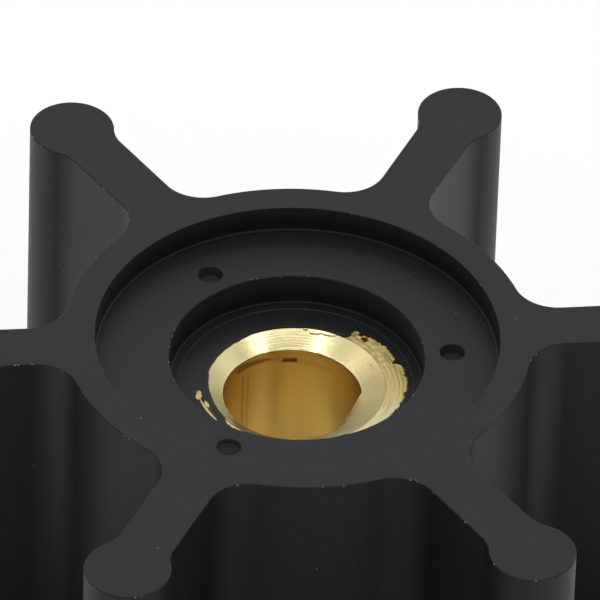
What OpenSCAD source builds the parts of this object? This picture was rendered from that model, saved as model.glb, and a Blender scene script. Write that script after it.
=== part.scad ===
// Flexible rubber impeller for a small raw water pump.
// Millimetres, +Z along the shaft, origin on the shaft axis at the lower end face.
// The first blade points along +X.

/* [Overall] */
// Diameter over the blade tips
tip_d = 50.8; // [42:0.1:80]
// Width of the moulding along the shaft
width = 22.2; // [16:0.1:50]
// Number of blades
blade_count = 6; // [5:1:8]

/* [Blades] */
// Blade thickness where it leaves the hub
blade_root = 3.25; // [2.4:0.05:4.2]
// Blade thickness where it meets the bulb
blade_end = 3.35; // [2.4:0.05:4.2]
// Diameter of the rounded bulb that wipes the pump wall
bulb_d = 4.95; // [4.3:0.05:6.5]
// Radius of the corner between blade and hub
root_fillet = 2.5; // [1.5:0.1:3]
// Radius of the hollow between blade and bulb
bulb_fillet = 2.1; // [1:0.1:3]

/* [Hub ends] */
// Width of the outer rim around each end recess
rim_w = 1.8; // [1:0.1:4]
// Depth of the shallow recess in each end
recess_depth = 1.55; // [0.8:0.05:2.4]
// Width of the ring floor between the recess wall and the well
ring_w = 4.3; // [3:0.1:8]
// Depth from the end face to the ledge in the well
ledge_depth = 3.53; // [2.8:0.01:5]
// Width of the ledge around the well floor
ledge_w = 0.5; // [0.3:0.05:1]
// Height of the step from the ledge down to the well floor
ledge_step = 0.12; // [0.1:0.01:0.6]
// Width of rubber floor outside the bush
floor_w = 0.3; // [0.2:0.05:1]
// Corner radius at the foot of each recess wall
recess_fillet = 0.12; // [0.1:0.01:0.45]
// Corner radius at the foot of the ledge step
step_fillet = 0.1; // [0.05:0.01:0.2]

/* [Mould pin marks] */
// Number of blind pin marks in the ring floor of the upper end
pin_count = 3; // [2:1:4]
// Diameter of a pin mark
pin_d = 1.5; // [1:0.1:2]
// Depth of a pin mark below the ring floor
pin_depth = 0.6; // [0.3:0.1:1]
// Distance from the well wall to the centre of a pin mark
pin_inset = 1.6; // [1.2:0.1:1.9]

/* [Bush] */
// Diameter of the D shaped bore
bore_d = 8; // [5:0.1:10]
// Distance from the bore axis to the flat of the D
flat_dist = 3.5; // [2.4:0.05:4.8]
// Direction of the flat, in degrees from the first blade
flat_turn = -30; // [-180:5:180]
// Thickness of the brass around the bore
bush_wall = 2.6; // [2:0.1:4]
// Width of the chamfer at each mouth of the bore
chamfer_w = 1.2; // [0.4:0.1:1.5]
// Slope of the chamfer below the end face of the bush
chamfer_slope = 30; // [20:1:45]
// Number of flutes that key the rubber to the bush
flute_count = 12; // [6:1:16]
// Radius of a flute
flute_r = 0.7; // [0.4:0.05:0.9]
// Depth of a flute
flute_depth = 0.5; // [0.3:0.05:0.7]
// Length of the plain collar at each end of the bush
collar = 2.5; // [1.5:0.1:4]

/* [Rubber lip over the bush] */
// Thickness of the thin rubber lip that laps over each end of the bush
lip = 0.08; // [0.05:0.01:0.2]
// Width of lip that is left along the edge of the bush in the gap
lip_edge = 0.1; // [0.05:0.05:0.3]
// Where the gap in the upper lip starts, in degrees from the first blade
lip_gap_from = -52; // [-90:1:0]
// Where the gap in the upper lip ends, in degrees from the first blade
lip_gap_to = 48; // [10:1:90]

/* [Hidden] */
$fn = 96;
// How far a cutting shape reaches past what it cuts
over = 1;
rubber_colour = [0.13, 0.13, 0.135];
brass_colour = [0.83, 0.69, 0.37];

// Radii, from the shaft outwards
bore_r = bore_d / 2;
chamfer_r = bore_r + chamfer_w;
bush_r = bore_r + bush_wall;
floor_r = bush_r + floor_w;
well_r = floor_r + ledge_w;
recess_r = well_r + ring_w;
hub_r = recess_r + rim_w;
pin_circle_r = well_r + pin_inset;
bulb_r = bulb_d / 2;
bulb_at = tip_d / 2 - bulb_r;

// Heights along the shaft
floor_depth = ledge_depth + ledge_step;
bush_from = floor_depth + lip;
bush_length = width - 2 * bush_from;

// How far a fillet circle bites into the outlines it blends, so that their arcs cross
bite = 0.002;

// Side of a blade, as a line from the hub to the middle of the bulb
side_tilt = atan((blade_end - blade_root) / 2 / (bulb_at - hub_r));
side_along = [cos(side_tilt), sin(side_tilt)];
side_out = [-sin(side_tilt), cos(side_tilt)];
side_start = [hub_r, blade_root / 2];

// Distance along a line, from the point at, to where it is reach from the point from
function reach_along(at, from, reach, way) =
    let (gap = at - from, along = gap * side_along)
    -along + way * sqrt(along * along - gap * gap + reach * reach);

// Centre of a fillet circle that touches the blade side and a circle around the point from
function fillet_centre(from, round_r, fillet_r, way) =
    let (at = side_start + (fillet_r - bite) * side_out)
    at + reach_along(at, from, round_r + fillet_r - bite, way) * side_along;

root_centre = fillet_centre([0, 0], hub_r, root_fillet, 1);
hollow_centre = fillet_centre([bulb_at, 0], bulb_r, bulb_fillet, -1);

// Corner of rubber, as long as the moulding, that fills the angle between the blade side and
// a round outline. The point inside lies well within both.
module fillet(centre, fillet_r, round_at, round_r, inside) {
    gap = centre - round_at;
    on_round = round_at + gap * round_r / norm(gap);
    on_side = centre - fillet_r * side_out;
    linear_extrude(width)
        difference() {
            polygon([inside, on_side, centre, on_round]);
            translate(centre) circle(fillet_r);
        }
}

// The two corners on one side of a blade
module side_fillets() {
    fillet(root_centre, root_fillet, [0, 0], hub_r, [hub_r - rim_w / 2, 0]);
    fillet(hollow_centre, bulb_fillet, [bulb_at, 0], bulb_r, [bulb_at - bulb_r / 2, 0]);
}

// One blade along +X, rooted in the hub rim
module blade() {
    root_y = side_start.y - rim_w * tan(side_tilt);
    end_y = blade_end / 2;
    // The web, from the recess wall to the middle of the bulb
    linear_extrude(width)
        polygon([[recess_r, -root_y], [bulb_at, -end_y], [bulb_at, end_y], [recess_r, root_y]]);
    translate([bulb_at, 0, 0]) cylinder(r = bulb_r, h = width);
    side_fillets();
    mirror([0, 1, 0]) side_fillets();
}

// The moulding before its ends are recessed
module blank() {
    cylinder(r = hub_r, h = width);
    for (i = [0 : blade_count - 1]) {
        rotate(i * 360 / blade_count) blade();
    }
}

// Half section of a round pocket with a rounded foot, below an end face at height 0
module pocket_section(radius, depth, foot) {
    translate([0, -depth]) square([radius - foot, depth + over]);
    translate([0, foot - depth]) square([radius, depth - foot + over]);
    translate([radius - foot, foot - depth]) circle(foot);
}

// Everything that one end of the core pin leaves open above the bush
module end_recess() {
    rotate_extrude() {
        pocket_section(recess_r, recess_depth, recess_fillet);
        pocket_section(well_r, ledge_depth, recess_fillet);
        pocket_section(floor_r, floor_depth, step_fillet);
    }
}

// The bush before it is bored, with flutes between two plain collars
module bush_outside() {
    difference() {
        translate([0, 0, bush_from]) cylinder(r = bush_r, h = bush_length);
        for (i = [0 : flute_count - 1]) {
            rotate(i * 360 / flute_count)
                translate([bush_r + flute_r - flute_depth, 0, bush_from + collar])
                    cylinder(r = flute_r, h = bush_length - 2 * collar);
        }
    }
}

// Blind marks that the pins of the mould leave in the upper ring floor
module pin_marks() {
    for (i = [0 : pin_count - 1]) {
        rotate(i * 360 / pin_count)
            translate([pin_circle_r, 0, width - recess_depth - pin_depth])
                cylinder(d = pin_d, h = pin_depth + over);
    }
}

// Stretch of the upper lip where the rubber never covered the brass
module lip_gap() {
    translate([0, 0, width - bush_from - over])
        rotate(lip_gap_from)
            rotate_extrude(angle = lip_gap_to - lip_gap_from)
                square([bush_r - lip_edge, lip + 2 * over]);
}

// The rubber moulding with its blades, shaped around the bush
module rubber_body() {
    color(rubber_colour)
    difference() {
        blank();
        translate([0, 0, width]) end_recess();
        mirror([0, 0, 1]) end_recess();
        bush_outside();
        cylinder(r = chamfer_r, h = width);
        lip_gap();
        pin_marks();
    }
}

// Cone that opens one mouth of the bore, from an end face at height 0 upwards
module mouth_chamfer() {
    rise = tan(chamfer_slope);
    tip_r = flat_dist / 2;
    translate([0, 0, -over])
        cylinder(r1 = chamfer_r + over / rise, r2 = tip_r, h = over + (chamfer_r - tip_r) * rise);
}

// The D shaped way for the shaft
module d_bore() {
    linear_extrude(width) {
        difference() {
            circle(bore_r);
            rotate(flat_turn) translate([flat_dist, -bore_d]) square(2 * bore_d);
        }
    }
}

// The turned bush that the rubber is moulded onto
module brass_bush() {
    color(brass_colour)
    difference() {
        bush_outside();
        d_bore();
        translate([0, 0, bush_from]) mouth_chamfer();
        translate([0, 0, width - bush_from]) mirror([0, 0, 1]) mouth_chamfer();
    }
}

rubber_body();
brass_bush();
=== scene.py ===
# %% [markdown]
# A rubber pump impeller, seen close up from above. The black part is one rubber moulding with six
# straight blades. In its middle sits a turned brass bush that takes the pump shaft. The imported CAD
# model gives the sizes and places, so it is loaded first and never moved. This lesson then models
# both pieces again with the small things that the eye looks for: soft edges, a torn rubber lip,
# turning marks, burrs and dust.

# %% Load the fixed frame
from math import acos, atan, atan2, cos, hypot, pi, radians, sin, sqrt, tan

import bmesh
import bpy
from mathutils import Matrix, Vector, noise


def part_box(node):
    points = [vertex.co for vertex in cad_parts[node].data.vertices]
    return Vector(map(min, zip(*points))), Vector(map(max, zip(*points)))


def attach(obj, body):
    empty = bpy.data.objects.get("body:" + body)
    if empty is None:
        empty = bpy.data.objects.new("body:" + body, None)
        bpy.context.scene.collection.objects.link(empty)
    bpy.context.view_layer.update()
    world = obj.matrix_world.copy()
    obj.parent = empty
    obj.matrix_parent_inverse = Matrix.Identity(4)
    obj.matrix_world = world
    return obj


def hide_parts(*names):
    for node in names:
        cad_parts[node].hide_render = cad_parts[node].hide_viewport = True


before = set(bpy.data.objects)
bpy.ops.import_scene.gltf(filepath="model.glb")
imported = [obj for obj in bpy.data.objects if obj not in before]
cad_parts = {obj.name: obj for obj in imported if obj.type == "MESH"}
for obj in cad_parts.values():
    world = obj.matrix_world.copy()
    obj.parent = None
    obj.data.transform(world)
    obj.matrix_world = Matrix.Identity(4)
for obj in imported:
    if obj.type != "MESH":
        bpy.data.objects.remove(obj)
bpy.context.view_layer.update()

print("CAD nodes:", sorted(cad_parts))

# %% [markdown]
# The sizes below are in millimetres, the unit that a toolmaker thinks in. Each mesh is drawn in
# millimetres and brought to metres at the end. Overall sizes are read from the frame, so they
# can't drift from the CAD model. The rest are the driving sizes of the moulding. Two small
# tolerances say when points touch and when they lie on one level.

# %% Sizes of the moulding and the bush
MM = 0.001
touching = 0.001
level_within = 0.0001
_, rubber_high = (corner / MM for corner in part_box("rubber_body"))
bush_low, bush_high = (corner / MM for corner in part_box("brass_bush"))

width = rubber_high.z
tip_r = rubber_high.x
bush_r = bush_high.x
bush_bottom = bush_low.z
bush_top = bush_high.z

blade_count = 6
blade_root = 3.25
blade_end = 3.35
bulb_r = 2.475
root_fillet = 2.5
bulb_fillet = 2.1
bulb_at = tip_r - bulb_r

hub_r = 13.5
recess_r = 11.68
recess_depth = 1.59
well_r = 7.37
ledge_depth = 3.53
floor_r = 6.9
floor_depth = 3.65
foot_fillet = 0.12
step_fillet = 0.105

bore_r = 4.0
flat_dist = 3.5
flat_turn = radians(-30)
chamfer_r = 5.2
chamfer_slope = radians(30)
print(f"width {width:.2f}, tip radius {tip_r:.2f}, bush radius {bush_r:.2f} mm")

# %% [markdown]
# Two small drawing tools do most of the outline work. An arc is drawn by spinning one vertex about
# a centre, as a compass would. A straight line is one extruded vertex. Both give back the vertex
# where the pencil stopped.

# %% Compass and ruler
def only_verts(items):
    """The vertices among what an operator made."""
    return [item for item in items if isinstance(item, bmesh.types.BMVert)]


def turn_between(centre, start, end):
    """Degrees from start to end round centre."""
    first = atan2(start[1] - centre[1], start[0] - centre[0])
    last = atan2(end[1] - centre[1], end[0] - centre[0])
    return (last - first) * 180 / pi


def arc(bm, pencil, centre, start, end, steps):
    """Spins a vertex round centre, from start to end, and returns the last one."""
    made = bmesh.ops.spin(bm, geom=[pencil], cent=(centre[0], centre[1], pencil.co.z),
                          axis=(0, 0, 1), angle=radians(turn_between(centre, start, end)),
                          steps=steps)
    return only_verts(made["geom_last"])[0]


def line_to(bm, pencil, point):
    """Extrudes a vertex to a point and returns the new one."""
    made = bmesh.ops.extrude_vert_indiv(bm, verts=[pencil])
    end = made["verts"][0]
    end.co = point
    return end


print("from +X to +Y:", turn_between((0, 0), (1, 0), (0, 1)), "degrees")

# %% [markdown]
# The outline of a blade is two lines and five arcs that run smoothly into each other. The centre
# of a fillet lies one radius off the blade side and one radius off the circle that it meets, so it
# is found where a line and a circle cross. Half a blade is drawn, mirrored, and turned six times.

# %% Blade outline
bulb_steps, hollow_steps, root_steps, pocket_steps = 28, 10, 16, 12
side_tilt = atan((blade_end - blade_root) / 2 / (bulb_at - hub_r))
along = Vector((cos(side_tilt), sin(side_tilt), 0))
outward = Vector((-sin(side_tilt), cos(side_tilt), 0))
side_start = Vector((hub_r, blade_root / 2, 0))


def fillet_centre(middle, circle_r, fillet_r, way):
    """Centre of the fillet that touches the blade side and a circle round middle."""
    near = side_start + fillet_r * outward - middle
    ahead = near.dot(along)
    reach = sqrt(ahead**2 - near.length_squared + (circle_r + fillet_r)**2)
    return middle + near + (way * reach - ahead) * along


bulb_middle = Vector((bulb_at, 0, 0))
root_centre = fillet_centre(Vector(), hub_r, root_fillet, 1)
hollow_centre = fillet_centre(bulb_middle, bulb_r, bulb_fillet, -1)


def draw_half_blade(bm):
    """Draws from the tip of the bulb along the blade to the middle of the pocket."""
    tip = Vector((tip_r, 0, 0))
    bulb_end = bulb_middle + (hollow_centre - bulb_middle).normalized() * bulb_r
    hollow_end = hollow_centre - outward * bulb_fillet
    root_start = root_centre - outward * root_fillet
    root_end = root_centre.normalized() * hub_r
    pocket = Vector((cos(pi / blade_count), sin(pi / blade_count), 0)) * hub_r

    pencil = bm.verts.new(tip)
    pencil = arc(bm, pencil, bulb_middle, tip, bulb_end, bulb_steps)
    pencil = arc(bm, pencil, hollow_centre, bulb_end, hollow_end, hollow_steps)
    pencil = line_to(bm, pencil, root_start)
    pencil = arc(bm, pencil, root_centre, root_start, root_end, root_steps)
    arc(bm, pencil, Vector(), root_end, pocket, pocket_steps)


def draw_outline(bm):
    """Draws the closed outline of the moulding at height 0."""
    draw_half_blade(bm)
    half = bm.verts[:] + bm.edges[:]
    bmesh.ops.mirror(bm, geom=half, axis="Y", merge_dist=level_within)
    blade = bm.verts[:] + bm.edges[:]
    for number in range(1, blade_count):
        copy = bmesh.ops.duplicate(bm, geom=blade)["geom"]
        turn = Matrix.Rotation(2 * pi * number / blade_count, 3, "Z")
        bmesh.ops.rotate(bm, verts=only_verts(copy), matrix=turn)
    bmesh.ops.remove_doubles(bm, verts=bm.verts[:], dist=touching)


outline_test = bmesh.new()
draw_outline(outline_test)
print("outline points:", len(outline_test.verts), "edges:", len(outline_test.edges))
outline_test.free()

# %% [markdown]
# A mould leaves an edge that looks sharp but still catches a thread of light. The blank is
# therefore an extruded face whose rim edges get a bevel of a twentieth of a millimetre. The two
# end faces are then opened, because the recess has to be let into them.

# %% The blank
edge_round = 0.05


def on_level(items, height):
    """The faces or edges that lie flat at a height."""
    return [item for item in items
            if all(abs(v.co.z - height) < level_within for v in item.verts)]


def make_blank(bm):
    """Extrudes the outline, softens its rims and takes the two end faces off."""
    draw_outline(bm)
    lower = bmesh.ops.contextual_create(bm, geom=bm.edges[:])["faces"]
    made = bmesh.ops.extrude_face_region(bm, geom=lower, use_keep_orig=True)
    bmesh.ops.translate(bm, verts=only_verts(made["geom"]), vec=(0, 0, width))
    rims = on_level(bm.edges, 0) + on_level(bm.edges, width)
    bmesh.ops.bevel(bm, geom=rims, offset=edge_round, segments=3, profile=0.5,
                    affect="EDGES", material=-1)
    ends = on_level(bm.faces, 0) + on_level(bm.faces, width)
    bmesh.ops.delete(bm, geom=ends, context="FACES_ONLY")


blank_test = bmesh.new()
make_blank(blank_test)
print("blank:", len(blank_test.faces), "faces round its sides and rims")
blank_test.free()

# %% [markdown]
# Both ends of the hub are round, so each is drawn as one half section and spun. The section is a
# list of corners, and a corner with a radius becomes an arc of a few short steps. One spin could
# make the full turn, but two are much quicker: a narrow wedge is spun first, and copies of it are
# spun round and merged.

# %% Half sections and spinning
wedges = 24
corner_steps = 5
seam_within = 0.0002


def rounded(corners):
    """Points (radius, height) of a section whose corners are (radius, height, corner radius)."""
    points = []
    for number, (r, z, soft) in enumerate(corners):
        here = Vector((r, z))
        if soft == 0:
            points.append(here)
            continue
        before = (Vector(corners[number - 1][:2]) - here).normalized()
        after = (Vector(corners[number + 1][:2]) - here).normalized()
        half = before.angle(after) / 2
        start = here + before * soft / tan(half)
        middle = here + (before + after).normalized() * soft / sin(half)
        sweep = (start - middle).angle_signed(here + after * soft / tan(half) - middle)
        for step in range(corner_steps + 1):
            spoke = start - middle
            spoke.rotate(Matrix.Rotation(-sweep * step / corner_steps, 2))
            points.append(middle + spoke)
    return points


def full_turn(points, steps, centre=(0, 0)):
    """Spins a half section once round an upright axis through centre, as a new bmesh."""
    turned = bmesh.new()
    section = [turned.verts.new((centre[0] + r, centre[1], z)) for r, z in points]
    for pair in zip(section, section[1:]):
        turned.edges.new(pair)
    axis = {"cent": (centre[0], centre[1], 0), "axis": (0, 0, 1)}
    bmesh.ops.spin(turned, geom=turned.verts[:] + turned.edges[:], angle=2 * pi / wedges,
                   steps=steps // wedges, **axis)
    wedge = turned.verts[:] + turned.edges[:] + turned.faces[:]
    bmesh.ops.spin(turned, geom=wedge, angle=2 * pi, steps=wedges, use_duplicate=True, **axis)
    bmesh.ops.remove_doubles(turned, verts=turned.verts[:], dist=seam_within)
    return turned


def add(bm, part):
    """Puts one bmesh into another."""
    carrier = bpy.data.meshes.new("carrier")
    part.to_mesh(carrier)
    part.free()
    bm.from_mesh(carrier)
    bpy.data.meshes.remove(carrier)


ring_test = full_turn([(1, 0), (2, 0)], 240)
print("a ring of 240 steps has", len(ring_test.faces), "faces")
ring_test.free()

# %% [markdown]
# The recess wall carries a very faint line where two parts of the mould met, 0.7 mm below the end
# face. It is a step of a few thousandths of a millimetre, so it is drawn into the section. The
# floor of the well is closed by a thin lip of rubber that laps over the end of the bush. Where a
# wall meets a level face above it, a small arc catches the light. Its radius is a hundredth less
# than the step that holds it, so the arc fits.

# %% Sections of the recess and the well
joint_line_depth = 0.72
joint_line_step = 0.005
lip_foot = floor_r - step_fillet
well_edge = 0.09
recess_edge = 0.035
ledge_edge = 0.01
short_of = 0.99


def recess_section():
    """From the end face, at height 0, down to the ring floor."""
    inner, line_foot = recess_r - joint_line_step, -joint_line_depth - joint_line_step
    return rounded([(recess_r + recess_edge, 0, 0), (recess_r, 0, recess_edge * short_of),
                    (recess_r, -joint_line_depth, 0), (inner, line_foot, 0),
                    (inner, -recess_depth, foot_fillet), (inner - foot_fillet, -recess_depth, 0)])


def well_section(lip_rows):
    """From the ring floor down the well, over the floor and round the edge of the lip."""
    reach = chamfer_r - lip_foot
    lip = [(lip_foot + reach * row / lip_rows, -floor_depth, 0) for row in range(1, lip_rows + 1)]
    return rounded([(well_r + well_edge, -recess_depth, 0),
                    (well_r, -recess_depth, well_edge * short_of),
                    (well_r, -ledge_depth, foot_fillet), (floor_r, -ledge_depth, ledge_edge),
                    (floor_r, -floor_depth, step_fillet), *lip, (chamfer_r, bush_top - width, 0)])


print("recess section:", len(recess_section()), "points")
print("well section:", len(well_section(4)), "points")

# %% [markdown]
# Twelve flutes key the rubber to the bush. Nobody sees them, but the two meshes should still fit
# each other, so one function gives the radius of the joint between rubber and brass at any angle.

# %% The fluted joint between rubber and brass
flute_count = 12
flute_r = 0.7
flute_depth = 0.5
collar = 2.5
flute_edge = 0.02


def joint_radius(angle, height):
    """Radius of the outside of the bush at an angle and a height."""
    pitch = 2 * pi / flute_count
    off = (angle + pitch / 2) % pitch - pitch / 2
    flute_at = bush_r + flute_r - flute_depth
    side = flute_at * sin(off)
    low, high = bush_bottom + collar, bush_top - collar
    fluted = low - level_within < height < high + level_within
    if not fluted or abs(side) >= flute_r:
        return bush_r
    return min(bush_r, flute_at * cos(off) - sqrt(flute_r**2 - side**2))


def joint_section():
    """The cylinder of the joint, from top to bottom, with levels where the flutes start and end."""
    top, bottom = bush_top - collar, bush_bottom + collar
    levels = (bush_top, top + flute_edge, top, bottom, bottom - flute_edge, bush_bottom)
    return [(bush_r, z) for z in levels]


def polar(bm):
    """Each vertex with its angle and its radius."""
    for v in bm.verts:
        yield v, atan2(v.co.y, v.co.x), hypot(v.co.x, v.co.y)


def put(v, angle, r):
    """Moves a vertex to an angle and a radius, at the height that it has."""
    v.co.xy = (r * cos(angle), r * sin(angle))


def cut_flutes(bm):
    """Draws the vertices of the joint in to its true radius."""
    for v, angle, r in polar(bm):
        if abs(r - bush_r) < touching:
            put(v, angle, joint_radius(angle, v.co.z))


on_flute, beside_flute = (joint_radius(angle, width / 2) for angle in (0, pi / flute_count))
print(f"joint radius on a flute {on_flute:.2f} mm, beside it {beside_flute:.2f} mm")

# %% [markdown]
# On this impeller the lip over the bush is torn away on one side, from just below the first blade
# round to the second. The edge wanders, so its radius runs through a few chosen points, in degrees
# and millimetres. Noise, asked for at a point in space and so the same on every run, roughens it.
# A float layer, "edge", tells the finish how near a vertex is to the edge.

# %% The torn lip
lip_points = [(-180, 5.05), (-173, 5.02), (-156, 5.08), (-148, 5.12), (-145, 5.32), (-142, 5.42),
              (-134, 5.42), (-128, 5.2), (-62, 5.2), (-56, 5.7), (-46, 6.1), (-36, 6.2),
              (-29, 6.02), (-26, 6.14), (-20, 6.27), (-13, 6.34), (-6, 6.46), (-1, 6.5), (10, 6.48),
              (14, 6.38), (15, 6.3), (15.8, 6.06), (16.8, 6.08), (17.8, 6.28), (25, 6.32),
              (30, 6.38), (37, 6.31), (43, 6.15), (46.5, 6.02), (49.8, 6.04), (50.6, 5.45),
              (53, 5.24), (60, 5.2), (88, 5.22), (108, 5.24), (124, 5.13), (150, 5.12),
              (164, 5.17), (166, 5.08), (180, 5.05)]
torn_from, torn_to = -62, 52
ragged_to = 15
calm_share = 0.3
lip_lift = 0.05
calm_lift = 0.15
lip_margin = 0.04


def between(points, at):
    """Height at a place of a curve drawn through points."""
    for (x0, y0), (x1, y1) in zip(points, points[1:]):
        if x0 <= at <= x1:
            return y0 + (y1 - y0) * (at - x0) / (x1 - x0)
    return points[-1][1]


def around(angle, r, height=0):
    """A point on a circle, for asking noise that meets itself after a full turn."""
    return Vector((r * cos(angle), r * sin(angle), height))


def ripple(angle, r, height=0):
    """Noise from -1 to 1 at a point on a circle. A larger circle gives shorter waves."""
    return noise.noise(around(angle, r, height))


def in_degrees(angle):
    """An angle in degrees."""
    return angle * 180 / pi


def lip_radius(angle):
    """Radius of the inner edge of the upper lip at an angle."""
    degrees = in_degrees(angle)
    rough = 0.06 * ripple(angle, 14) + 0.05 * ripple(angle, 38) + 0.05 * ripple(angle, 90)
    share = 1 if torn_from < degrees < ragged_to else calm_share
    return min(between(lip_points, degrees) + rough * share, bush_r - lip_margin)


def tear_lip(bm):
    """Draws the upper lip back to its edge, lifts the torn stretch a little and marks the edge."""
    mark = bm.verts.layers.float.new("edge")
    for v, angle, r in polar(bm):
        outside = r > lip_foot - touching or abs(r - bush_r) < touching
        if outside or v.co.z < bush_top - touching:
            continue
        share = (lip_foot - r) / (lip_foot - chamfer_r)
        put(v, angle, lip_foot + (lip_radius(angle) - lip_foot) * share)
        v[mark] = share
        if v.co.z > bush_top + touching:
            torn = torn_from < in_degrees(angle) < torn_to
            wave = 0.5 + ripple(angle, 40, 5)
            v.co.z += lip_lift * share**2 * wave * (1 if torn else calm_lift)


for degrees in (0, 45, 180):
    print("lip radius at", degrees, "degrees:", round(lip_radius(radians(degrees)), 2), "mm")

# %% [markdown]
# The ring floor holds three blind marks left by ejector pins. Each is a small spun pit with its
# own distance from the axis, depth and radius of floor. They could be cut out of a solid, but that
# leaves a ragged mesh. Here the level faces are filled last: a fill takes all the loops of edges
# that bound a face and closes what lies between them.

# %% Pin marks and flat floors
pin_r = 0.73
pin_edge = 0.04
pin_foot = 0.03
pin_pits = ((9.0, 0.55, 0.64), (8.91, 0.55, 0.64), (9.06, 0.2, 0.6))
pin_turn = radians(-0.84)
pin_steps = 48


def pin_mark(number):
    """One pit in the upper ring floor."""
    top = width - recess_depth
    out, depth, foot_r = pin_pits[number]
    section = rounded([(pin_r + pin_edge, top, 0), (pin_r, top, pin_edge * short_of),
                       (foot_r, top - depth, pin_foot), (0, top - depth, 0)])
    angle = 2 * pi * number / len(pin_pits) + pin_turn
    return full_turn(section, pin_steps, around(angle, out))


def fill_level(bm, height):
    """Fills the flat face between all open loops at one height."""
    loops = [edge for edge in on_level(bm.edges, height) if edge.is_boundary]
    bmesh.ops.triangle_fill(bm, use_beauty=True, edges=loops)


print("pin marks:", len(pin_pits), "of", 2 * pin_r, "mm across")

# %% [markdown]
# Now the moulding is put together. Loops that lie on each other are merged, the flat faces are
# filled and the normals are turned outwards. The mesh has to be closed, with two faces at every
# edge. The torn lip needs the finest steps.

# %% The rubber moulding
fine_steps = 720
plain_steps = 360


def make_moulding():
    """Returns the whole rubber moulding, in millimetres."""
    bm = bmesh.new()
    make_blank(bm)
    for lift, way, steps, lip_rows in ((width, 1, fine_steps, 4), (0, -1, plain_steps, 1)):
        for section, turns in ((recess_section(), plain_steps), (well_section(lip_rows), steps)):
            add(bm, full_turn([(r, lift + way * z) for r, z in section], turns))
    add(bm, full_turn(joint_section(), plain_steps))
    for number in range(len(pin_pits)):
        add(bm, pin_mark(number))
    bmesh.ops.remove_doubles(bm, verts=bm.verts[:], dist=touching)
    for height in (0, width, recess_depth, width - recess_depth, bush_bottom, bush_top):
        fill_level(bm, height)
    cut_flutes(bm)
    tear_lip(bm)
    bmesh.ops.recalc_face_normals(bm, faces=bm.faces[:])
    return bm


def closed(bm):
    """Whether every edge has two faces."""
    return all(edge.is_manifold for edge in bm.edges)


moulding = make_moulding()
print("moulding:", len(moulding.faces), "faces, closed:", closed(moulding))

# %% [markdown]
# The brass bush is turned from bar, so it too is a spun section. Its end face was cut with a rough
# feed and shows wavy ridges where the lip is torn away. The wide cone at the mouth of the bore was
# cut more finely. Both are drawn in many close rows, whose vertices can later be raised or lowered
# by a few thousandths of a millimetre. The edge of the mouth is a small arc.

# %% Section of the bush
row_pitch = 0.03
cone_rise = (chamfer_r - bore_r) * tan(chamfer_slope)
bore_rows = 16
mouth_round = 0.1


def rows(start, end, count):
    """Evenly spaced points of a section, without the last one."""
    first, last = Vector(start), Vector(end)
    return [first.lerp(last, step / count) for step in range(count)]


def bush_section():
    """Closed half section of the bush, from the upper outer corner and back to it."""
    corner, mouth = (chamfer_r, bush_top), (bore_r, bush_top - cone_rise)
    foot, lower = (bore_r, bush_bottom + cone_rise), (chamfer_r, bush_bottom)
    soft_mouth = rounded([(*corner, 0), (*mouth, mouth_round), (*foot, 0)])[1:-1]
    slant = (chamfer_r - bore_r) / cos(chamfer_slope)
    points = rows((bush_r, bush_top), corner, round((bush_r - chamfer_r) / row_pitch))
    points += rows(corner, soft_mouth[0], round(slant / row_pitch)) + soft_mouth[:-1]
    points += rows(soft_mouth[-1], foot, bore_rows) + [Vector(foot), Vector(lower)]
    return points + [Vector(point) for point in reversed(joint_section())]


print("bush section:", len(bush_section()), "points")

# %% [markdown]
# The bore is a D: its wall is flat on one side, to drive the shaft. The round wall is spun first,
# and the part beyond the flat is then drawn in. Where the flat meets the cone, the edge of the
# mouth slides down the cone, as the cutter would leave it. The bore also sits a little off the
# middle of its cone.

# %% The D bore
bore_shift = Vector((-0.19, 0.02, 0))
flat_reach = acos(flat_dist / bore_r)
waviness = 0.004


def flat_radius(angle, r):
    """Radius of the bore wall at an angle, drawn in where the flat is."""
    off = (angle - flat_turn + pi) % (2 * pi) - pi
    return min(r, flat_dist / cos(off)) if abs(off) < flat_reach else r


def cut_bore(bm):
    """Gives the bore its flat, a slight waviness and its shift from the middle."""
    for v, angle, r in polar(bm):
        if r > chamfer_r - touching:
            continue
        if r < bore_r + mouth_round / 2:
            wall = flat_radius(angle, r + waviness * ripple(angle, 7, v.co.z * 0.05))
            if v.co.z > bush_top - cone_rise - mouth_round:
                v.co.z -= (r - wall) * tan(chamfer_slope)
            if v.co.z < bush_bottom + cone_rise + touching:
                v.co.z += (r - wall) * tan(chamfer_slope)
            put(v, angle, wall)
        v.co += bore_shift * min(1, (chamfer_r - r) / (chamfer_r - bore_r))


print(f"the flat takes {in_degrees(2 * flat_reach):.0f} degrees of the bore")

# %% [markdown]
# The end face has wavy turning ridges, a burr that the tear left and a hollow beside it. At the
# back of the cone lies a thin smear of brass, whose ragged edge runs through a few chosen points.
# They could be sculpted by hand. Here small sums of noise move the vertices of the spun section
# instead, which can be changed later. A float layer, "residue_and_shade", tells the finish where the
# metal is burnt or smeared, and where it is darkened in the hollow. It also carries painted shade,
# with glue, along the torn edge of the lip, and painted shade along the edge of the smear.

# %% Ridges, burr, hollow and smear
burr_place = (47, 50.4), (5.55, 6.1)
burr_height = 0.11
hollow_place = (38.5, 46.5), (5.66, 6.14)
hollow_depth = 0.14
rough_place = (8, 50), (5, 7)
face_drop = 0.016
ridge_height, rough_ridge_height = 0.009, 0.007
smear_points = [(56, 5.25), (57, 5.2), (58.5, 5.06), (61, 5.0), (66.5, 4.98), (67.4, 5.04),
                (68.4, 4.97), (70, 4.93), (74.5, 4.92), (75.8, 4.96), (76.5, 5.08), (79, 5.07),
                (80.3, 5.1), (81, 5.25)]
smear_height = 0.03
smear_slope = 13
cone_drop, cone_ridge_height = 0.004, 0.003
degrees_per_mm = 12


def clamped(value):
    """The value, held between 0 and 1."""
    return min(1, max(0, value))


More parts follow.
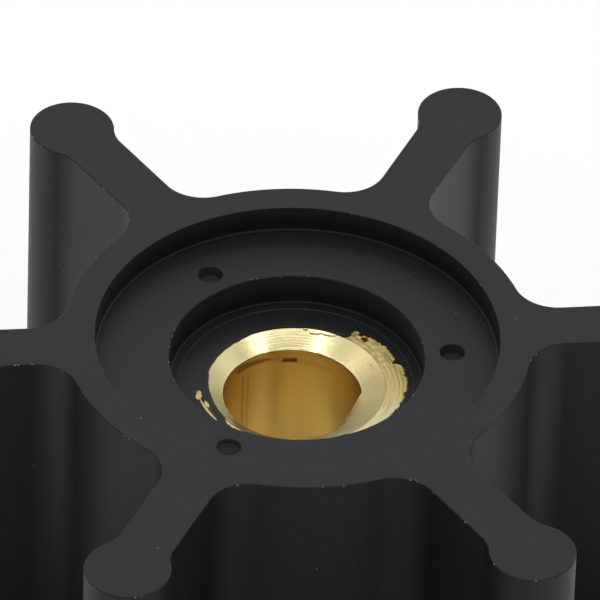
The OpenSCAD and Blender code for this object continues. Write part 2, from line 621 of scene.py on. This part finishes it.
def sector(angle, r, angles, radii, soft=0.6):
    """1 inside a piece of a ring and 0 outside it, with a soft edge of some degrees."""
    degrees = in_degrees(angle)
    return clamped(min(degrees - angles[0], angles[1] - degrees, (r - radii[0]) * degrees_per_mm,
                       (radii[1] - r) * degrees_per_mm) / soft)


def face_detail(angle, r):
    """Lift of the end face, and its residue and painted shade, at an angle and a radius."""
    wander = 0.09 * ripple(angle, 5) + 0.03 * ripple(angle, 22)
    ridge = ripple(angle, 3.5, (r + wander) * 17) + 0.35 * ripple(angle, 40, r * 12)
    jolt = ripple(angle, 26, r * 5)
    burr = sector(angle + 0.02 * jolt, r, *burr_place)
    hollow = sector(angle + 0.05 * jolt, r + 0.2 * jolt, *hollow_place, 1.1)
    height = ridge_height + rough_ridge_height * sector(angle, r, *rough_place, 12)
    near_lip = 0.9 - (lip_radius(angle) - r) / 0.22 + ripple(angle, 20, 3)
    lift = burr_height * burr - hollow_depth * hollow - face_drop - height * ridge
    return lift, max(hollow, clamped(near_lip) * (1 - burr))


def cone_detail(angle, r):
    """Lift of the cone, and the painted shade along the edge of the smear, at an angle and a radius.
    """
    smear = clamped((r - between(smear_points, in_degrees(angle))) * smear_slope)
    lift = smear_height * smear - cone_drop - cone_ridge_height * ripple(angle, 2, r * 11)
    return lift, 4 * smear * (1 - smear)


def roughen_end(bm):
    """Moves the vertices of the upper end face and cone, and marks their residue and painted shade.
    """
    mark = bm.verts.layers.float.new("residue_and_shade")
    for v, angle, r in polar(bm):
        below = v.co.z < bush_top - cone_rise - touching
        if below or r < bore_r + mouth_round or r > bush_r - touching:
            continue
        lift, v[mark] = (face_detail if r > chamfer_r + touching else cone_detail)(angle, r)
        v.co.z += lift


for title, place in (("burr", burr_place), ("hollow", hollow_place)):
    degrees, radius = (sum(limits) / 2 for limits in place)
    print("lift of the", title, round(face_detail(radians(degrees), radius)[0], 3), "mm")

# %% [markdown]
# On the side away from the tear a few flakes of brass have come through the lip: two blobs, a thin
# sliver that follows the circle and a scrap of burnt residue. Each is a small ball, flattened and
# bent round the shaft, so it tapers to both ends.

# %% Flakes in the lip
flakes = [((-178, -170), (5.66, 5.82), 0.2, 0.06, 0),
          ((-172, -148.5), (5.75, 5.68), 0.1, 0.07, 0),
          ((-168, -161.5), (5.52, 5.5), 0.12, 0.05, 0),
          ((-163, -152.5), (5.5, 5.57), 0.09, 0.02, 1)]


def add_flake(bm, angles, radii, half_width, height, burnt):
    """Adds one flake, given where it starts and ends, and whether it is burnt."""
    ball = bmesh.new()
    mark = ball.verts.layers.float.new("residue_and_shade")
    bmesh.ops.create_uvsphere(ball, u_segments=24, v_segments=12, radius=1)
    for v in ball.verts:
        share = (v.co.z + 1) / 2
        angle = radians(angles[0] + (angles[1] - angles[0]) * share)
        bulge = 1 + 0.35 * ripple(angle, 30, radii[0])
        r = radii[0] + (radii[1] - radii[0]) * share + v.co.x * half_width * bulge
        z = width - floor_depth + v.co.y * height * (bulge if v.co.y > 0 else 1)
        v.co = around(angle, r, z)
        v[mark] = burnt
    add(bm, ball)


print("flakes:", len(flakes))

# %% [markdown]
# The bush comes together from its spun section, the roughened end, the D bore and the flakes. The
# end is roughened while the section is still round, and the bore is then drawn in with the marks
# already on it.

# %% The turned bush
def make_bush():
    """Returns the turned bush, in millimetres."""
    bm = full_turn(bush_section(), fine_steps)
    roughen_end(bm)
    cut_bore(bm)
    cut_flutes(bm)
    for flake in flakes:
        add_flake(bm, *flake)
    bmesh.ops.recalc_face_normals(bm, faces=bm.faces[:])
    return bm


bush = make_bush()
print("bush:", len(bush.faces), "faces, closed:", closed(bush))

# %% [markdown]
# Shader maths reads best as sums, so a small class wraps a shader socket and lets plus, minus and
# times build the Math nodes. One more method makes any other node: it takes the node's type, its
# settings and what goes into its sockets. Patterns are laid out in millimetres on the piece's own
# coordinates, so they stay put when the camera moves.

# %% Shader values as sums
class Term:
    """A shader socket that can be used in a sum as if it were a number."""

    def __init__(self, finish, socket):
        self.finish = finish
        self.socket = socket

    def math(self, operation, *values):
        settings = {"operation": operation}
        return self.finish.node("ShaderNodeMath", settings, dict(enumerate(values)))

    def __add__(self, other): return self.math("ADD", self, other)
    def __sub__(self, other): return self.math("SUBTRACT", self, other)
    def __mul__(self, other): return self.math("MULTIPLY", self, other)
    def __truediv__(self, other): return self.math("DIVIDE", self, other)
    def __rsub__(self, other): return self.math("SUBTRACT", other, self)
    def __rtruediv__(self, other): return self.math("DIVIDE", other, self)
    def __abs__(self): return self.math("ABSOLUTE", self)
    __radd__ = __add__
    __rmul__ = __mul__

    def root(self): return self.math("SQRT", self)
    def wave(self): return self.math("SINE", self)

    def ramp(self, low, high):
        """0 below low and 1 above high, or the other way round if low is the larger."""
        return self.finish.node("ShaderNodeMapRange", {"interpolation_type": "SMOOTHSTEP"},
                                {"Value": self, "From Min": low, "From Max": high})

    def span(self, low, high, soft):
        """1 between two limits and 0 beyond them, with soft ends."""
        return self.ramp(low - soft, low + soft) * self.ramp(high + soft, high - soft)


class Finish:
    """A material whose nodes are made with short calls."""

    def __init__(self, name):
        self.material = bpy.data.materials.new(name)
        self.material.use_nodes = True
        self.tree = self.material.node_tree
        self.shader = self.tree.nodes["Principled BSDF"]
        on_piece = self.node("ShaderNodeTexCoord", {}, {}, "Object")
        self.place = self.node("ShaderNodeVectorMath", {"operation": "SCALE"},
                               {0: on_piece, "Scale": 1 / MM})
        self.x, self.y, self.z = (self.node("ShaderNodeSeparateXYZ", {}, {0: self.place}, axis)
                                  for axis in "XYZ")
        self.r = (self.x * self.x + self.y * self.y).root()
        self.angle = self.x.math("ARCTAN2", self.y, self.x) * (180 / pi)

    def node(self, kind, settings, inputs, output=0):
        """Makes a node and returns one of its outputs."""
        made = self.tree.nodes.new(kind)
        for name, value in settings.items():
            setattr(made, name, value)
        for name, value in inputs.items():
            self.feed(made.inputs[name], value)
        return Term(self, made.outputs[output])

    def feed(self, socket, value):
        """Links a shader value to a socket, or sets a plain value on it."""
        if isinstance(value, Term):
            self.tree.links.new(value.socket, socket)
        elif isinstance(value, tuple) and socket.type == "RGBA":
            socket.default_value = (*value, 1)
        else:
            socket.default_value = value

    def grain(self, size, detail=2, place=None, rough=0.5):
        """Soft noise from 0 to 1 whose blotches have a size in millimetres."""
        inputs = {"Vector": place or self.place, "Scale": 1 / size, "Detail": detail,
                  "Roughness": rough}
        return self.node("ShaderNodeTexNoise", {}, inputs)

    def at(self, x, y, z):
        """A place put together from three values."""
        return self.node("ShaderNodeCombineXYZ", {}, {"X": x, "Y": y, "Z": z})

    def mark(self, name):
        """A value that the mesh carries in a layer of its own."""
        return self.node("ShaderNodeAttribute", {"attribute_name": name}, {}, "Fac")

    def coats(self, colour, *layers):
        """Lays colours over a first one, each in its own share."""
        for share, over in layers:
            colour = self.node("ShaderNodeMix", {"data_type": "RGBA"},
                               {"Factor": share, 6: colour, 7: over}, 2)
        return colour

    def bump(self, height, depth):
        """A normal bent by a height from 0 to 1 that stands for a depth in millimetres."""
        return self.node("ShaderNodeBump", {},
                         {"Height": height, "Strength": 1.0, "Distance": depth * MM})

    def shade(self, **values):
        """Feeds the sockets of the main shader. An underscore stands for a space."""
        for name, value in values.items():
            self.feed(self.shader.inputs[name.replace("_", " ")], value)


print("shader helpers ready")

# %% [markdown]
# Moulded rubber is nearly black, with a soft sheen and a very fine grain. On a clean part the eye
# still finds slight blotches and a sprinkle of pale specks of mould dust. The blotches are large
# soft noise. There are hundreds of specks, too many to model, so each is the middle of a cell of a
# Voronoi pattern, and a chance drawn for every cell decides which of them stay.

# %% Rubber grain and specks
rubber = Finish("moulded_rubber")


def specks(size, spacing, kept):
    """Round specks of a size, one to a cell of a spacing, in a share of the cells."""
    cells = {"Vector": rubber.place, "Scale": 1 / spacing}
    near = rubber.node("ShaderNodeTexVoronoi", {}, cells, "Distance") * spacing
    colour = rubber.node("ShaderNodeTexVoronoi", {}, cells, "Color")
    chance = rubber.node("ShaderNodeSeparateColor", {}, {0: colour}, 0)
    return near.ramp(size, size / 2) * chance.ramp(1 - kept + 0.01, 1 - kept + 0.011)


blotches = rubber.grain(4.0, 3)
mottle = rubber.grain(0.15, 2, None, 0.6)
fine = rubber.grain(0.05, 2)
clumps = rubber.grain(2.5, 2).ramp(0.42, 0.6)
print("nodes for the rubber's grain:", len(rubber.tree.nodes))

# %% [markdown]
# Some places on the rubber differ from the rest. Its rounded edges gather dust, the recess and well
# walls carry a dull film and painted light that is brightest at the top of each wall, the floors of
# the pin marks are paler, the outer walls are a shade darker and coarser, and the torn edge of the
# lip is brown. Each place is a mask, 1 inside and 0 outside. It could be painted by hand, but a mask
# made from a height and a radius is exact.

# %% Places on the rubber
ring_z = width - recess_depth
below_level = 0.0004
pins_from, pins_to = 8.1, recess_r - 1.5


def rim_at(height):
    """1 on the rounded edge just under a level face."""
    return (rubber.z.ramp(height - 0.11, height - 0.07)
            * rubber.z.ramp(height - below_level, height - 0.002))


rims = rim_at(width) + rim_at(ring_z) * rubber.r.ramp(well_r + 0.4, well_r + 0.3)
dust = (specks(0.055, 0.8, 0.1) + 0.35 * specks(0.05, 1.3, 0.5)
        + specks(0.08, 0.2, 0.3) * clumps * rims)
walls = (rubber.r.ramp(recess_r + 0.04, recess_r + 0.01)
         * rubber.z.ramp(width - below_level, width - 0.01))
# The film mask is also painted light: it is 1 at the top of each recess and well wall and fades to 0
# at its foot.
well_film_and_painted_light = (walls * rubber.z.ramp(ring_z - 0.005, ring_z - 0.02)
             * rubber.z.ramp(width - ledge_depth, ring_z))
film_and_painted_light = walls * rubber.z.ramp(ring_z + 0.1, width) + well_film_and_painted_light
pin_floors = (rubber.r.ramp(pins_from, pins_from + 0.1) * rubber.r.ramp(pins_to, pins_to - 0.1)
              * rubber.z.ramp(ring_z - 0.03, ring_z - 0.12))
far_pins = rubber.y.ramp(-3, -2)
near_pin = rubber.y.ramp(-2, -3)
flanks = (rubber.z.ramp(width - below_level, width - 0.06)
          * rubber.r.ramp(hub_r - 0.1, hub_r - 0.05))
torn_edge = rubber.mark("edge").ramp(0.86, 1.0)
print("nodes with the masks:", len(rubber.tree.nodes))

# %% [markdown]
# The colours are laid over each other like coats of paint, each in the share that its mask gives,
# and roughness follows the same masks. The grain is far too fine to model, so a bump gives it. The
# outer walls, whose sheen is softer, get more of it than the ends.

# %% Rubber colours and sheen
clouds = 0.35 * blotches + 0.65 * mottle.ramp(0.25, 0.75)
skin = rubber.coats((0.0066, 0.0066, 0.0068),
                    (clouds, (0.0200, 0.0201, 0.0206)),
                    # Painted light: the film's pale bluish grey is brightest at the top of each
                    # wall.
                    (film_and_painted_light, (0.026, 0.028, 0.031)),
                    (pin_floors * far_pins, (0.033, 0.031, 0.026)),
                    (pin_floors * near_pin, (0.0205, 0.0190, 0.0155)),
                    (flanks * 0.2, (0.003, 0.003, 0.003)),
                    (torn_edge, (0.055, 0.026, 0.012)),
                    (dust, (0.30, 0.30, 0.29)))
rubber_rough = (0.38 + 0.05 * blotches + 0.13 * mottle + 0.15 * film_and_painted_light + 0.2 * pin_floors
                + 0.03 * flanks)
rubber_grain = fine + flanks * (4.0 * mottle + fine)
rubber.shade(Base_Color=skin, Roughness=rubber_rough, IOR=1.5, Specular_IOR_Level=0.34,
             Normal=rubber.bump(rubber_grain, 0.004))
print("rubber finish has", len(rubber.tree.nodes), "nodes")

# %% [markdown]
# Turned brass is pale yellow where it faces the light. Three places on it look unlike each other:
# the rough end face, the finely cut cone and the bore. The axis of the bore is a little off, so it
# has a radius of its own. The mask of the cone takes in the bore too, whose colour is laid over it
# later.

# %% Places on the brass
brass = Finish("turned_brass")
bore_x = brass.x - bore_shift.x
bore_reach = (bore_x * bore_x + brass.y * brass.y).root()
cone_height = bush_top - (chamfer_r - bore_reach) * tan(chamfer_slope)
bore = (cone_height - brass.z).ramp(0.08, 0.12) * bore_reach.ramp(bore_r + 0.04, bore_r + 0.02)
end_face = brass.r.ramp(chamfer_r - 0.03, chamfer_r + 0.03)
far_face = brass.angle.span(10, 47, 8) * end_face
cone = 1 - end_face
print("nodes for the places on the brass:", len(brass.tree.nodes))

# %% [markdown]
# A lathe tool leaves rings, and the tool that cut the bore leaves lines along it. Rings are noise
# stretched round the axis, or a sine wave of the radius where they are regular. They are shallow,
# so they go into the bump. The regular ones are weakest at the back of the cone, where it mirrors
# the lamps, and the wavy feed marks are only there.

# %% Tool marks on the brass
def rings(r, across, around_axis, detail, rough):
    """Noise stretched along circles about the axis."""
    return brass.grain(1, detail, brass.at(r * across, brass.angle * around_axis, 0), rough)


def lines_down(across, down, detail):
    """Noise stretched along the bore."""
    return brass.grain(1, detail, brass.at(brass.x * across, brass.y * across, brass.z * down))


back = brass.angle.span(68, 106, 12)
mirror = brass.angle.span(60, 122, 10)
left_front = brass.x.ramp(-3.6, -4.3) * brass.y.ramp(0, -1.5)
cut_lines = rings(brass.r, 12, 0.02, 3, 0.7) * (0.25 + 0.75 * back)
tool_marks = (brass.r * 150).wave() * cone
tool_depth = 0.38 - 0.28 * mirror + 0.2 * left_front
feed_marks = ((brass.r * 41 + 1.5 * cut_lines).wave()
              * brass.angle.span(72, 108, 5) * brass.r.ramp(5.25, 4.75))
face_lines = rings(brass.r + 0.05 * brass.grain(0.6, 2), 9, 0.03, 2, 0.6) * end_face
streaks = lines_down(1.1, 0.04, 3)
fine_streaks = lines_down(5, 0.1, 2)
print("nodes with the tool marks:", len(brass.tree.nodes))

# %% [markdown]
# The bore is not clean. A short dark dash and a wiped arc of dirt sit about five millimetres down
# its back, a faint stain follows the arc, and two thin runs go down from it. Each is a stretch of
# angles times a stretch of heights. Fine noise shakes the heights a little, so that no edge looks
# ruled.

# %% Dirt in the bore
stain = brass.grain(0.35, 4, None, 0.65)
speckle = brass.grain(0.12, 3)
dirt_z = brass.z - width + 0.12 * (speckle - 0.5)
arc_z = dirt_z + 4.66 + (140 - brass.angle) * 0.0072
arc_width = 0.1 + (brass.angle - 104) * 0.008
dash = brass.angle.span(83, 95.5, 1) * dirt_z.span(-5.3, -5.02, 0.04)
wiped = brass.angle.span(104, 140, 4) * (arc_z / arc_width).span(-1.1, 0.4, 0.25)
dirt = (dash + wiped * (0.3 + 0.6 * streaks)).ramp(0, 1) * 0.85
faint = brass.angle.span(50, 150, 8) * arc_z.span(-0.3, 0.1, 0.15)
runs = brass.angle.span(131, 132.7, 0.5) + brass.angle.span(125, 126.8, 0.6) * 0.6
runs = runs * dirt_z.ramp(-5.2, -5.8)
print("nodes with the dirt:", len(brass.tree.nodes))

# %% [markdown]
# A few marks are small but catch the eye: pinholes, two dents on the cone, a painted highlight on
# the rim where the cone meets the round part of the bore, and the residue with its painted shade,
# which is read from the mesh.

# %% Small marks on the brass
residue_and_shade = brass.mark("residue_and_shade")
pinholes = speckle.ramp(0.66, 0.74) * (1 - bore)
far_dent = brass.angle.span(17, 25, 2) * brass.r.span(4.74, 4.9, 0.03) * speckle.ramp(0.5, 0.56)
near_dent = brass.angle.span(-18.7, -16.8, 0.5) * brass.r.span(4.82, 4.88, 0.02)
to_flat = bore_x * cos(flat_turn) + brass.y * sin(flat_turn)
# A painted highlight on the rim where the cone meets the round part of the bore.
painted_rim_highlight = (bore_reach.span(bore_r + 0.05, bore_r + 0.09, 0.015) * abs(bore_x).ramp(1.5, 3.0)
       * to_flat.ramp(3.5, 3.3) * (1 - bore))
front = brass.y.ramp(-0.5, -3.0)
groove_share = 0.5 + 0.25 * front + 0.3 * far_face
print("nodes with the small marks:", len(brass.tree.nodes))

# %% [markdown]
# Brass is full metal with a base colour that tints what it mirrors. The end face is browner, because
# rubber and the bonding agent burnt onto it, and its front is painted paler as a painted sheen. The
# right side of the cone is painted darker as a painted shade, and its front edge is painted paler as
# a painted highlight. The deep bore has a warmer tint, and both its sides are painted paler as
# painted light.

# %% Brass colours and shine
burnt = (0.16, 0.085, 0.03)
# Painted shade: the right side of the cone is painted darker.
painted_shade_right = brass.x.ramp(1.0, 5.0) * brass.y.ramp(-3.2, -1.2) * cone * 0.7
browned = brass.angle.span(12, 44, 8) * end_face * stain.ramp(0.42, 0.6) * 0.45
bore_wall = brass.coats((0.93, 0.71, 0.30),
                        (streaks, (0.86, 0.63, 0.23)),
                        # Painted light: both sides of the bore are painted paler.
                        (abs(bore_x).ramp(2.0, 3.9), (1.0, 0.84, 0.46)),
                        (faint * 0.35, (0.6, 0.38, 0.14)),
                        (runs * 0.6, (0.55, 0.27, 0.09)),
                        (dirt, (0.10, 0.05, 0.02)))
metal = brass.coats((0.86, 0.75, 0.40),
                    (stain * 0.45, (0.78, 0.63, 0.25)),
                    (painted_shade_right, (0.68, 0.54, 0.25)),
                    (end_face, (0.72, 0.58, 0.24)),
                    # Painted shade: the troughs of the feed marks are painted darker.
                    (feed_marks.ramp(0.0, -0.9) * 0.28, (0.45, 0.33, 0.14)),
                    # Painted highlight: the front edge of the cone is painted paler.
                    (brass.y.ramp(-3.2, -4.7) * cone, (1.0, 0.93, 0.70)),
                    (far_face * 0.85, (1.0, 0.86, 0.38)),
                    (browned, (0.50, 0.33, 0.13)),
                    (bore, bore_wall),
                    (pinholes * 0.35, burnt),
                    # Painted sheen: the front of the end face is painted paler.
                    (front * end_face * 0.7, (0.80, 0.74, 0.46)),
                    (face_lines.ramp(0.49, 0.33) * end_face * groove_share, (0.45, 0.32, 0.12)),
                    ((far_dent + near_dent) * 0.8, (0.40, 0.26, 0.09)),
                    (painted_rim_highlight * 0.55, (1.0, 0.94, 0.72)),
                    # Burnt residue, with painted shade and glue along the torn edge of the lip.
                    ((residue_and_shade * 0.75 + stain * 0.5).ramp(0.72, 0.86), burnt),
                    # Painted shade along the edge of the smear on the cone.
                    (residue_and_shade.ramp(0.2, 0.8) * cone * 0.85, (0.36, 0.22, 0.07)))
brass_rough = 0.2 + 0.1 * bore + 0.2 * end_face + 0.25 * far_face + 0.25 * residue_and_shade
turned = (cut_lines + 0.42 * feed_marks + tool_depth * tool_marks + 3.0 * face_lines
          + (0.15 + 0.25 * end_face + 0.5 * far_face) * speckle)
bore_lines = fine_streaks * bore * 0.4
brass.shade(Base_Color=metal, Metallic=1.0, Roughness=brass_rough,
            Normal=brass.bump(turned * (1 - bore) + bore_lines, 0.006))
print("brass finish has", len(brass.tree.nodes), "nodes")

# %% [markdown]
# Each mesh is brought to metres, gets its finish and rides with the part. Level faces are shaded
# flat, the rest smooth, and edges above 35 degrees stay sharp. A Weighted Normal modifier lets the
# large faces set the shading, so that a straight blade side looks straight up to the arc that it
# runs into.

# %% The finished pieces
sharp_from = radians(35)
level_normal = 0.99999


def finish_piece(bm, name, finish):
    """Turns a bmesh in millimetres into a finished object of the part."""
    bmesh.ops.scale(bm, vec=(MM, MM, MM), verts=bm.verts[:])
    mesh = bpy.data.meshes.new(name)
    bm.to_mesh(mesh)
    bm.free()
    mesh.shade_smooth()
    mesh.set_sharp_from_angle(angle=sharp_from)
    for face in mesh.polygons:
        face.use_smooth = abs(face.normal.z) < level_normal
    mesh.materials.append(finish.material)
    piece = bpy.data.objects.new(name, mesh)
    bpy.context.scene.collection.objects.link(piece)
    shading = piece.modifiers.new("shading", "WEIGHTED_NORMAL")
    shading.mode = "FACE_AREA"
    shading.keep_sharp = True
    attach(piece, "root")
    print(name, "has", sum(len(face.vertices) - 2 for face in mesh.polygons), "triangles")
    return piece


rubber_piece = finish_piece(moulding, "rubber_moulding", rubber)
brass_piece = finish_piece(bush, "turned_bush", brass)
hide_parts("rubber_body")
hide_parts("brass_bush")

# %% [markdown]
# The camera stands where the photograph was taken from, far off with a long lens, and looks down
# at about 39 degrees. It rolls by two degrees, as the photograph does. Its place was measured by
# matching the outline of the moulding, in degrees and millimetres.

# %% Camera
view_turn = radians(-6.569)
view_down = radians(39.436)
view_roll = radians(1.9245)
view_far = 691.0
view_right = 0.135
view_up = 2.053
long_lens = 720

level = Vector((1, 0, 0))
climb = Vector((0, sin(view_down), cos(view_down)))
ahead = Vector((0, cos(view_down), -sin(view_down)))
right = cos(view_roll) * level + sin(view_roll) * climb
up = cos(view_roll) * climb - sin(view_roll) * level
heading = Matrix.Rotation(view_turn, 3, "Z")
stand = heading @ (right * view_right + up * view_up - ahead * view_far) + Vector((0, 0, width))

camera_data = bpy.data.cameras.new("photo_camera")
camera_data.sensor_width = 36
camera_data.lens = long_lens
camera_data.clip_start = 0.01
camera_data.clip_end = 50
camera = bpy.data.objects.new("photo_camera", camera_data)
frame_axes = heading @ Matrix((right, up, -ahead)).transposed()
camera.matrix_world = Matrix.Translation(stand * MM) @ frame_axes.to_4x4()
bpy.context.scene.collection.objects.link(camera)
bpy.context.scene.camera = camera
print("camera stands at", *(round(value) for value in stand), "mm")

# %% [markdown]
# The floor is plain, pale and wide enough to fill every view. It lies a hair below the part, so
# that the two never share a face. Three collections say what a lamp may light, since rubber, brass
# and floor each need a light of their own.

# %% Floor
floor_size = 12.0
floor_gap = 0.0002
floor_only, brass_only, all_but_brass = (bpy.data.collections.new(name) for name in
                                         ("floor_only", "brass_only", "all_but_brass"))
brass_only.objects.link(brass_piece)
all_but_brass.objects.link(rubber_piece)


def make_floor():
    """A plain pale floor under the part."""
    bm = bmesh.new()
    bmesh.ops.create_grid(bm, x_segments=1, y_segments=1, size=floor_size / 2)
    mesh = bpy.data.meshes.new("studio_floor")
    bm.to_mesh(mesh)
    bm.free()
    paint = Finish("floor_paint")
    paint.shade(Base_Color=(0.5, 0.5, 0.5), Roughness=0.9, Specular_IOR_Level=0.1)
    mesh.materials.append(paint.material)
    floor = bpy.data.objects.new("studio_floor", mesh)
    floor.location.z = -floor_gap
    bpy.context.scene.collection.objects.link(floor)
    floor_only.objects.link(floor)
    all_but_brass.objects.link(floor)


make_floor()
print("floor:", floor_size, "m wide")

# %% [markdown]
# The light is soft studio light. A wide, dim screen behind the part gives the level faces their
# sheen, and a lamp overhead lights the rubber. Polished brass shows a lamp as a bright spot, so it
# has five lamps that light nothing else: two make the bright spots on the cone, one the glow
# between them and two the pale sides. They have no bounces, or the rubber round the bush would
# turn yellow. One lamp lights only the floor and makes it white, yet leaves it dark in the shade
# of the part. A last small disc under the bore stands for the light that comes up through it.

# %% Lamps
cool = (0.965, 0.985, 1.01)
warm = (1.0, 0.975, 0.945)
cold = (0.91, 0.98, 1.18)
brass_lamp_far = 0.9
brass_lamps = (("top_left", -106, 71, (0.4, 0.13), 0.6, cold),
               ("top_right", 92, 66.2, (0.4, 0.11), 0.52, cold),
               ("top_middle", 180, 81, (0.54, 0.3), 0.58, cool),
               ("left_fill", -70, 51, (0.55, 0.66), 1.4, cool),
               ("right_fill", 66, 46, (0.55, 0.5), 0.6, cool))


def softbox(name, turn, rise, away, size, power, colour):
    """A rectangular lamp, turn degrees to the right of straight behind, aimed at the part."""
    lamp = bpy.data.lights.new(name, "AREA")
    lamp.shape = "RECTANGLE"
    lamp.size, lamp.size_y = size
    lamp.energy = power
    lamp.color = colour
    box = bpy.data.objects.new(name, lamp)
    turn, rise = radians(turn), radians(rise)
    spot = Vector((sin(turn) * cos(rise), cos(turn) * cos(rise), sin(rise)))
    spot = heading @ spot * away
    tilt = spot.to_track_quat("Z", "Y").to_matrix().to_4x4()
    box.matrix_world = Matrix.Translation(spot) @ tilt
    bpy.context.scene.collection.objects.link(box)
    return box


softbox("screen_behind", 6, 27, 1.6, (3.4, 1.8), 11.6, cool)
overhead = softbox("overhead", 0, 86, 0.9, (0.5, 0.5), 1.6, cold)
overhead.light_linking.receiver_collection = all_but_brass
for name, turn, rise, size, power, colour in brass_lamps:
    lamp = softbox(name, turn, rise, brass_lamp_far, size, power, colour)
    lamp.light_linking.receiver_collection = brass_only
    lamp.data.cycles.max_bounces = 0
wash = softbox("floor_wash", 2, 35, 3.0, (1.2, 1.0), 213, warm)
wash.light_linking.receiver_collection = floor_only
glow = softbox("bore_glow", 0, -90, 0.001, (0.0068, 0.0068), 7.0e-5, cool)
glow.data.shape = "DISK"
glow_at = Matrix.Translation((0, 0, (bush_bottom - 0.2) * MM))
glow.matrix_world = glow_at @ Matrix.Rotation(pi, 4, "X")
print("lamps:", len(bpy.data.lights))

# %% [markdown]
# The air of the studio adds a little light from all round, so that no corner is quite black. The
# Standard view keeps the colours as they are mixed.

# %% Air
world = bpy.data.worlds.new("studio_air")
bpy.context.scene.world = world
world.use_nodes = True
air = world.node_tree.nodes["Background"]
air.inputs["Color"].default_value = (0.97, 0.99, 1.0, 1)
air.inputs["Strength"].default_value = 0.35
bpy.context.scene.view_settings.view_transform = "Standard"
print("light from all round:", round(air.inputs["Strength"].default_value, 2))

# %% [markdown]

# %% The end
print("scene built")
